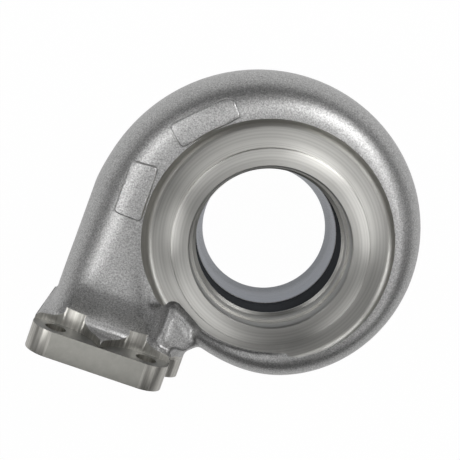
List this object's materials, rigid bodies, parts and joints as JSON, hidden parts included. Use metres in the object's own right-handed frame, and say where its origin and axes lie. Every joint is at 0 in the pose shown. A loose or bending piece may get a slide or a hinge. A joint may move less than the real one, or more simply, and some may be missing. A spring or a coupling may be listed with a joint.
{
  "type": "turbocharger turbine housing",
  "caption": "Cast scroll housing that takes exhaust gas in at a bolted flange, turns it round a turbine wheel and lets it out along the bore.",
  "frame": {"origin": "centre of the outlet bore in the plane of the outlet face", "axes": "+Z along the bore axis towards the bearing side, the inlet flange looks along -Y and lies on the -X side"},
  "size_m": [0.1826, 0.1788, 0.11],
  "materials": {
    "cast_housing": "sand-cast skin with turned and milled faces"
  },
  "bodies": {
    "root": {"turbine_housing": "cast_housing"}
  },
  "joints": []
}
